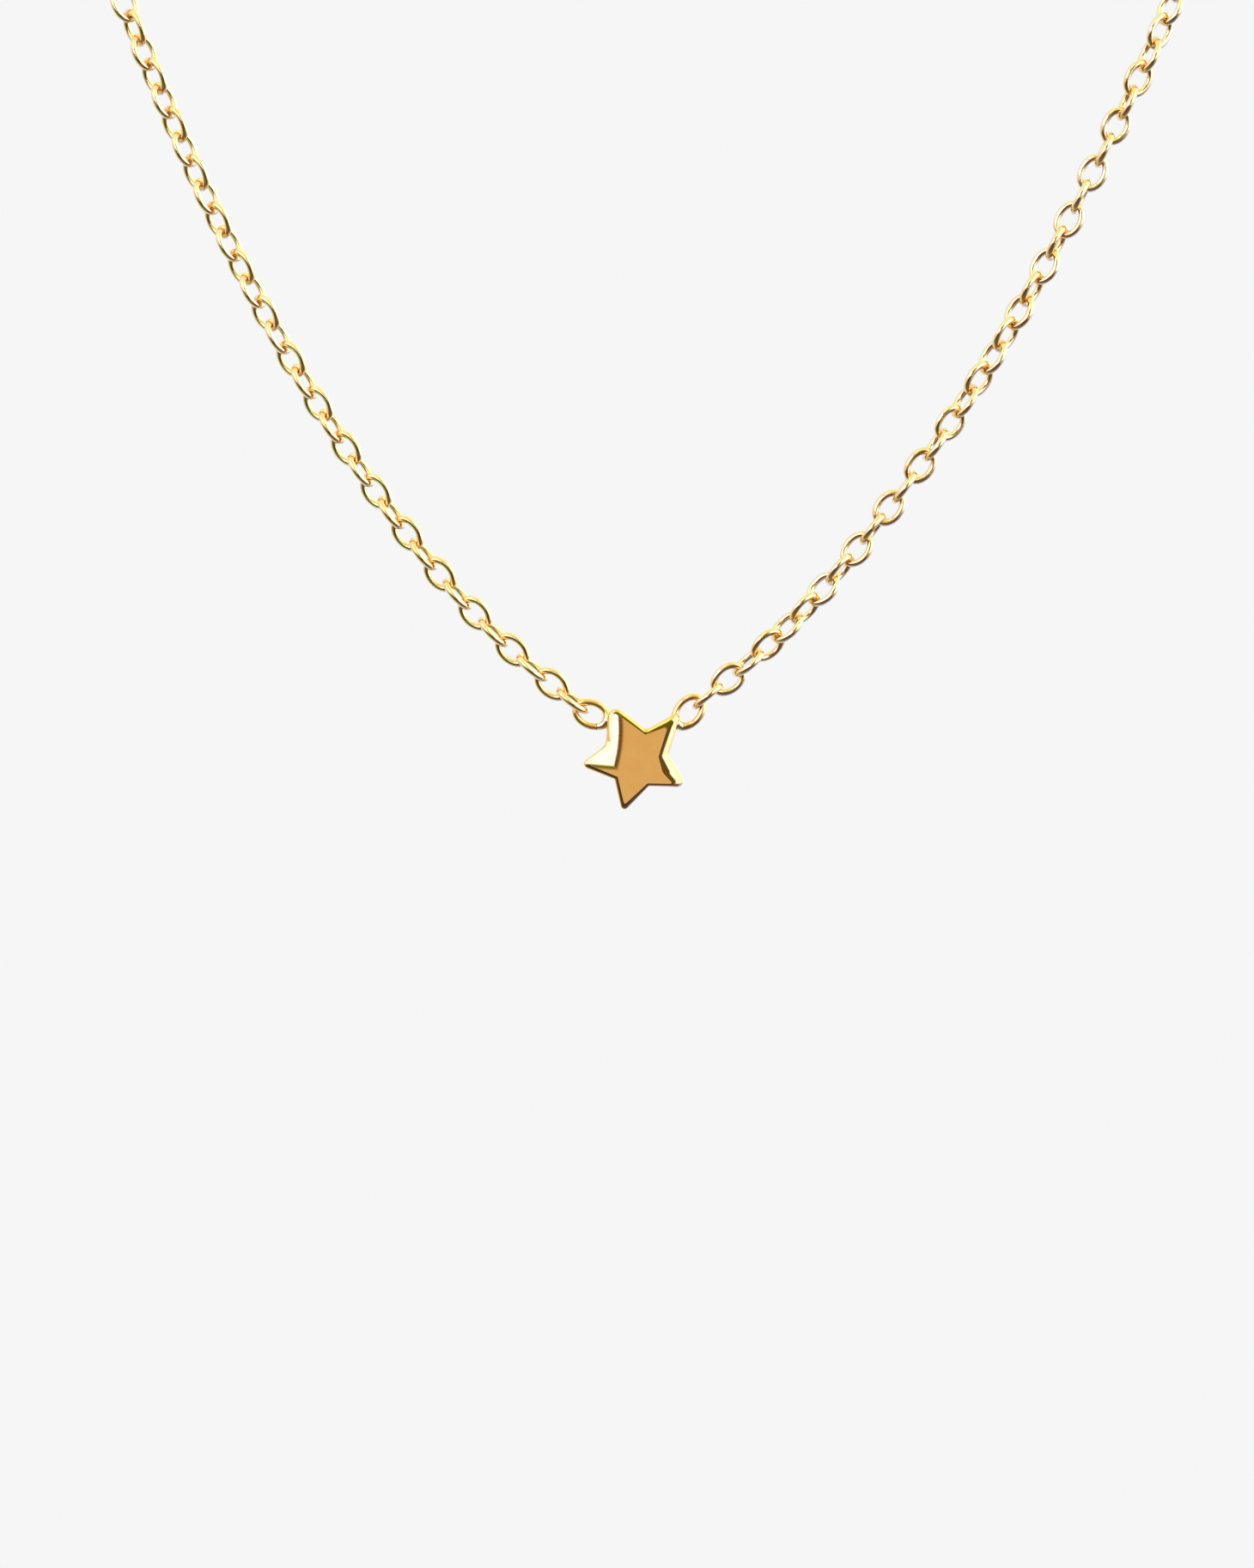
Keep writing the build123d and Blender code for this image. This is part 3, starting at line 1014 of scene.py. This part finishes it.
def light_world():
    world = bpy.data.worlds.new("studio")
    bpy.context.scene.world = world
    world.use_nodes = True
    tree = Tree(world.node_tree)
    direction = tree.add("ShaderNodeTexCoord").outputs["Generated"]
    right, back, up = tree.parts(direction)
    front = back * -1
    angle = front.arc_cosine() * (180 / math.pi)
    lift = up.angle_from(right) * (180 / math.pi)
    turn_share = lift / 360 + 0.5      # a ramp runs from 0 to 1
    around = CAMERA_GLOW
    for stops, low, high in BANDS:
        stops = [(place / 360 + 0.5, colour) for place, colour in stops]
        ramp = tree.add("ShaderNodeValToRGB", {"stops": stops}, {0: turn_share})
        around = tree.blend(around, ramp.outputs[0], angle.ramp(low, high))
    around = paint_panel(tree, around, right, up, front, angle)
    studio = tree.add("ShaderNodeBackground", inputs={0: around, 1: FULL}).outputs[0]
    backdrop = tree.add("ShaderNodeBackground", inputs={0: (*BACKDROP, 1), 1: 1.0}).outputs[0]
    seen = tree.add("ShaderNodeLightPath").outputs["Is Camera Ray"]
    mixed = tree.add("ShaderNodeMixShader", inputs={0: seen, 1: studio, 2: backdrop})
    tree.add("ShaderNodeOutputWorld", inputs={0: mixed.outputs[0]})
    return world


studio_world = light_world()
print("world of", len(studio_world.node_tree.nodes), "nodes")

# %% [markdown]
# ## The floor
#
# A plain pale disc lies below the necklace, out of the photograph's view. It is kept out of the
# metal's reflections, where the dark table of the studio belongs. The studio's panels are a little
# blue, so the floor is a little warm, and the two together look neutral.

# %% Lay the floor
FLOOR_DROP = 200.0        # millimetres below the clasp
FLOOR_RADIUS = 450.0
FLOOR_SEGMENTS = 128
FLOOR_COLOUR = (0.80, 0.655, 0.56)
FLOOR_ROUGHNESS = 0.9


def lay_floor():
    disc = bmesh.new()
    bmesh.ops.create_circle(disc, cap_ends=True, segments=FLOOR_SEGMENTS, radius=FLOOR_RADIUS * MM)
    bmesh.ops.translate(disc, vec=(0, 0, -FLOOR_DROP * MM), verts=disc.verts)
    data = bpy.data.meshes.new("floor")
    disc.to_mesh(data)
    disc.free()
    floor = bpy.data.objects.new("floor", data)
    bpy.context.scene.collection.objects.link(floor)
    material = bpy.data.materials.new("pale_floor")
    material.use_nodes = True
    shader = material.node_tree.nodes["Principled BSDF"]
    shader.inputs["Base Color"].default_value = (*FLOOR_COLOUR, 1)
    shader.inputs["Roughness"].default_value = FLOOR_ROUGHNESS
    data.materials.append(material)
    floor.visible_glossy = False


lay_floor()
print("floor", FLOOR_DROP, "mm below the clasp")

# %% [markdown]
# ## The camera
#
# The photograph was taken square on with a long lens, and the star hangs a little right of the
# middle. The lens follows from how many pixels a millimetre takes at the star. The view transform is
# the plain one, so that a colour in the light comes out as the same colour in the picture.

# %% Place the camera
PHOTO_WIDTH = 1460
PHOTO_HEIGHT = 1826
PIXELS_PER_MM = 18.0
STAR_PIXEL = (741.2, 881.0)        # where the star's centre is in the photograph
CAMERA_DISTANCE = 1500.0


def place_camera():
    camera = bpy.data.objects.new("camera", bpy.data.cameras.new("camera"))
    bpy.context.scene.collection.objects.link(camera)
    camera.data.lens = camera.data.sensor_width * CAMERA_DISTANCE / (PHOTO_HEIGHT / PIXELS_PER_MM)
    across = (PHOTO_WIDTH / 2 - STAR_PIXEL[0]) / PIXELS_PER_MM
    down = (PHOTO_HEIGHT / 2 - STAR_PIXEL[1]) / PIXELS_PER_MM
    camera.location = (STAR_CENTRE + Vector((across, -CAMERA_DISTANCE, -down))) * MM
    camera.rotation_euler = (math.pi / 2, 0, 0)      # level, and looking from the front
    bpy.context.scene.camera = camera
    return camera


camera = place_camera()
bpy.context.scene.view_settings.view_transform = "Standard"
print("lens", round(camera.data.lens, 1), "mm")
